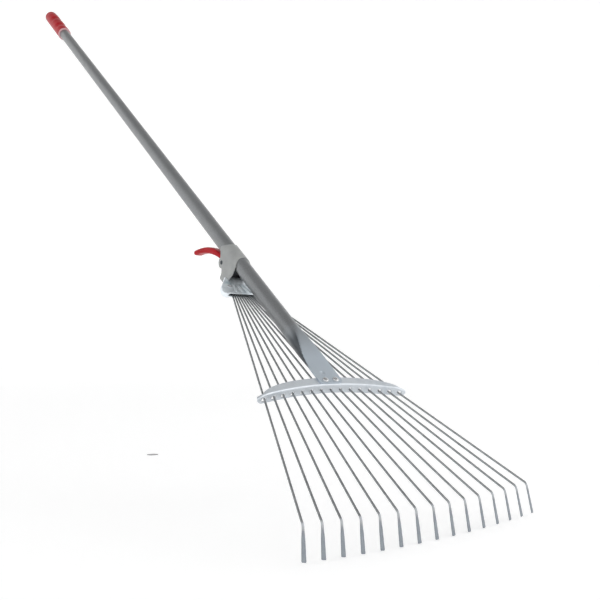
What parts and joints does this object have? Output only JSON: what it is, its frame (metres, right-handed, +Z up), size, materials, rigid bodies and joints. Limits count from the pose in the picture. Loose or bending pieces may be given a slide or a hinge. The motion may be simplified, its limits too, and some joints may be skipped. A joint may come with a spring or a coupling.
{
  "type": "leaf rake",
  "caption": "Adjustable leaf rake: a painted steel pole with a plastic grip, a slotted comb, and a sliding hub that spreads or folds a fan of wire tines.",
  "frame": {"origin": "on the pole's axis at the end of the grip's straight wall, with the rake in its working pose and its tips down", "axes": "+X level towards the user, +Y across the fan, +Z up; the pole leans 37.4 degrees above +X"},
  "size_m": [1.2985, 0.3078, 1.0137],
  "materials": {
    "pole_paint": "semi-gloss metallic grey paint over a steel tube",
    "clamp_paint": "satin grey paint over folded sheet steel",
    "zinc_sheet": "bright zinc plating on pressed sheet steel",
    "tine_wire": "drawn spring wire, zinc plated",
    "rivet_steel": "polished rivet steel",
    "red_plastic": "glossy moulded plastic",
    "black_plastic": "matte moulded plastic"
  },
  "bodies": {
    "handle": {"pole_tube": "pole_paint", "pole_grip": "red_plastic", "spreader_comb": "zinc_sheet", "comb_rivets": "rivet_steel"},
    "carriage": {"carriage_clamp": "clamp_paint", "slide_pad": "black_plastic", "lever_pin": "rivet_steel", "hub_top_plate": "zinc_sheet", "hub_bottom_plate": "zinc_sheet", "hub_rivets": "rivet_steel"},
    "lever": {"cam_lever": "red_plastic"},
    "tine_01": {"tine_01": "tine_wire"},
    "tine_02": {"tine_02": "tine_wire"},
    "tine_03": {"tine_03": "tine_wire"},
    "tine_04": {"tine_04": "tine_wire"},
    "tine_05": {"tine_05": "tine_wire"},
    "tine_06": {"tine_06": "tine_wire"},
    "tine_07": {"tine_07": "tine_wire"},
    "tine_08": {"tine_08": "tine_wire"},
    "tine_09": {"tine_09": "tine_wire"},
    "tine_10": {"tine_10": "tine_wire"},
    "tine_11": {"tine_11": "tine_wire"},
    "tine_12": {"tine_12": "tine_wire"},
    "tine_13": {"tine_13": "tine_wire"},
    "tine_14": {"tine_14": "tine_wire"},
    "tine_15": {"tine_15": "tine_wire"}
  },
  "joints": [
    {"name": "carriage_slide", "type": "slide", "parent": "handle", "child": "carriage", "axis": [0.7944, 0, 0.6074], "range_m": [0, 0.1]},
    {"name": "lever_hinge", "type": "hinge", "parent": "carriage", "child": "lever", "pos_m": [-0.89237, 0, -0.70153], "axis": [0, 1, 0], "range_deg": [0, 60]},
    {"name": "tine_01_pivot", "type": "hinge", "parent": "carriage", "child": "tine_01", "pos_m": [-0.93652, -0.021, -0.7475], "axis": [0.589, -0.2444, -0.7703], "range_deg": [0, 5.19]},
    {"name": "tine_02_pivot", "type": "hinge", "parent": "carriage", "child": "tine_02", "pos_m": [-0.93358, -0.01703, -0.7456], "axis": [0.5833, -0.2786, -0.763], "range_deg": [0, 4.63]},
    {"name": "tine_03_pivot", "type": "hinge", "parent": "carriage", "child": "tine_03", "pos_m": [-0.93652, -0.015, -0.7475], "axis": [0.5743, -0.3253, -0.7512], "range_deg": [0, 4.1]},
    {"name": "tine_04_pivot", "type": "hinge", "parent": "carriage", "child": "tine_04", "pos_m": [-0.93358, -0.01134, -0.7456], "axis": [0.5588, -0.3919, -0.7309], "range_deg": [0, 3.44]},
    {"name": "tine_05_pivot", "type": "hinge", "parent": "carriage", "child": "tine_05", "pos_m": [-0.93652, -0.009, -0.7475], "axis": [0.5291, -0.491, -0.6921], "range_deg": [0, 2.82]},
    {"name": "tine_06_pivot", "type": "hinge", "parent": "carriage", "child": "tine_06", "pos_m": [-0.93358, -0.00567, -0.7456], "axis": [0.4649, -0.6436, -0.608], "range_deg": [0, 2.15]},
    {"name": "tine_07_pivot", "type": "hinge", "parent": "carriage", "child": "tine_07", "pos_m": [-0.93652, -0.003, -0.7475], "axis": [0.3112, -0.8588, -0.407], "range_deg": [0, 1.64]},
    {"name": "tine_08_pivot", "type": "hinge", "parent": "carriage", "child": "tine_08", "pos_m": [-0.93358, 0, -0.7456], "axis": [0, -1, 0], "range_deg": [0, 1.4]},
    {"name": "tine_09_pivot", "type": "hinge", "parent": "carriage", "child": "tine_09", "pos_m": [-0.93652, 0.003, -0.7475], "axis": [-0.3112, -0.8588, 0.407], "range_deg": [0, 1.64]},
    {"name": "tine_10_pivot", "type": "hinge", "parent": "carriage", "child": "tine_10", "pos_m": [-0.93358, 0.00567, -0.7456], "axis": [-0.4649, -0.6436, 0.608], "range_deg": [0, 2.15]},
    {"name": "tine_11_pivot", "type": "hinge", "parent": "carriage", "child": "tine_11", "pos_m": [-0.93652, 0.009, -0.7475], "axis": [-0.5291, -0.491, 0.6921], "range_deg": [0, 2.82]},
    {"name": "tine_12_pivot", "type": "hinge", "parent": "carriage", "child": "tine_12", "pos_m": [-0.93358, 0.01134, -0.7456], "axis": [-0.5588, -0.3919, 0.7309], "range_deg": [0, 3.44]},
    {"name": "tine_13_pivot", "type": "hinge", "parent": "carriage", "child": "tine_13", "pos_m": [-0.93652, 0.015, -0.7475], "axis": [-0.5743, -0.3253, 0.7512], "range_deg": [0, 4.1]},
    {"name": "tine_14_pivot", "type": "hinge", "parent": "carriage", "child": "tine_14", "pos_m": [-0.93358, 0.01703, -0.7456], "axis": [-0.5833, -0.2786, 0.763], "range_deg": [0, 4.63]},
    {"name": "tine_15_pivot", "type": "hinge", "parent": "carriage", "child": "tine_15", "pos_m": [-0.93652, 0.021, -0.7475], "axis": [-0.589, -0.2444, 0.7703], "range_deg": [0, 5.19]}
  ],
  "couplings": [
    {"joint": "tine_01_pivot", "follows": "carriage_slide", "rad_per_m": 0.90597},
    {"joint": "tine_02_pivot", "follows": "carriage_slide", "rad_per_m": 0.80765},
    {"joint": "tine_03_pivot", "follows": "carriage_slide", "rad_per_m": 0.71566},
    {"joint": "tine_04_pivot", "follows": "carriage_slide", "rad_per_m": 0.59974},
    {"joint": "tine_05_pivot", "follows": "carriage_slide", "rad_per_m": 0.49162},
    {"joint": "tine_06_pivot", "follows": "carriage_slide", "rad_per_m": 0.37547},
    {"joint": "tine_07_pivot", "follows": "carriage_slide", "rad_per_m": 0.28646},
    {"joint": "tine_08_pivot", "follows": "carriage_slide", "rad_per_m": 0.24397},
    {"joint": "tine_09_pivot", "follows": "carriage_slide", "rad_per_m": 0.28646},
    {"joint": "tine_10_pivot", "follows": "carriage_slide", "rad_per_m": 0.37547},
    {"joint": "tine_11_pivot", "follows": "carriage_slide", "rad_per_m": 0.49162},
    {"joint": "tine_12_pivot", "follows": "carriage_slide", "rad_per_m": 0.59974},
    {"joint": "tine_13_pivot", "follows": "carriage_slide", "rad_per_m": 0.71566},
    {"joint": "tine_14_pivot", "follows": "carriage_slide", "rad_per_m": 0.80765},
    {"joint": "tine_15_pivot", "follows": "carriage_slide", "rad_per_m": 0.90597}
  ]
}
